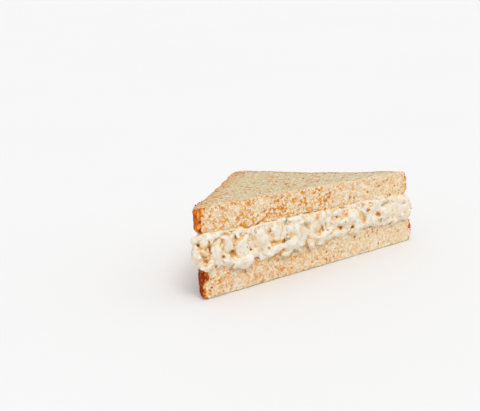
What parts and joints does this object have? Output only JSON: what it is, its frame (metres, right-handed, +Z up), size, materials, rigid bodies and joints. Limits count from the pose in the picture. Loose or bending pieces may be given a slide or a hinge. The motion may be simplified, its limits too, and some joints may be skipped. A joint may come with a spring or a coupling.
{
  "type": "chicken salad sandwich half",
  "caption": "Triangular half of a square wheat sandwich with a thick chunky chicken salad filling that shows at the cut, lying flat.",
  "frame": {"origin": "middle of the half's box, on the surface that the lower slice lies on", "axes": "+X along the cut, to the right for someone who looks at the cut face; +Y from the cut face towards the crusted corner; +Z up"},
  "size_m": [0.1424, 0.0756, 0.0473],
  "materials": {
    "bread": "open crumb with a browned crust",
    "salad": "moist, creamy and lumpy"
  },
  "bodies": {
    "root": {"bread_bottom": "bread", "chicken_salad": "salad", "bread_top": "bread"}
  },
  "joints": []
}
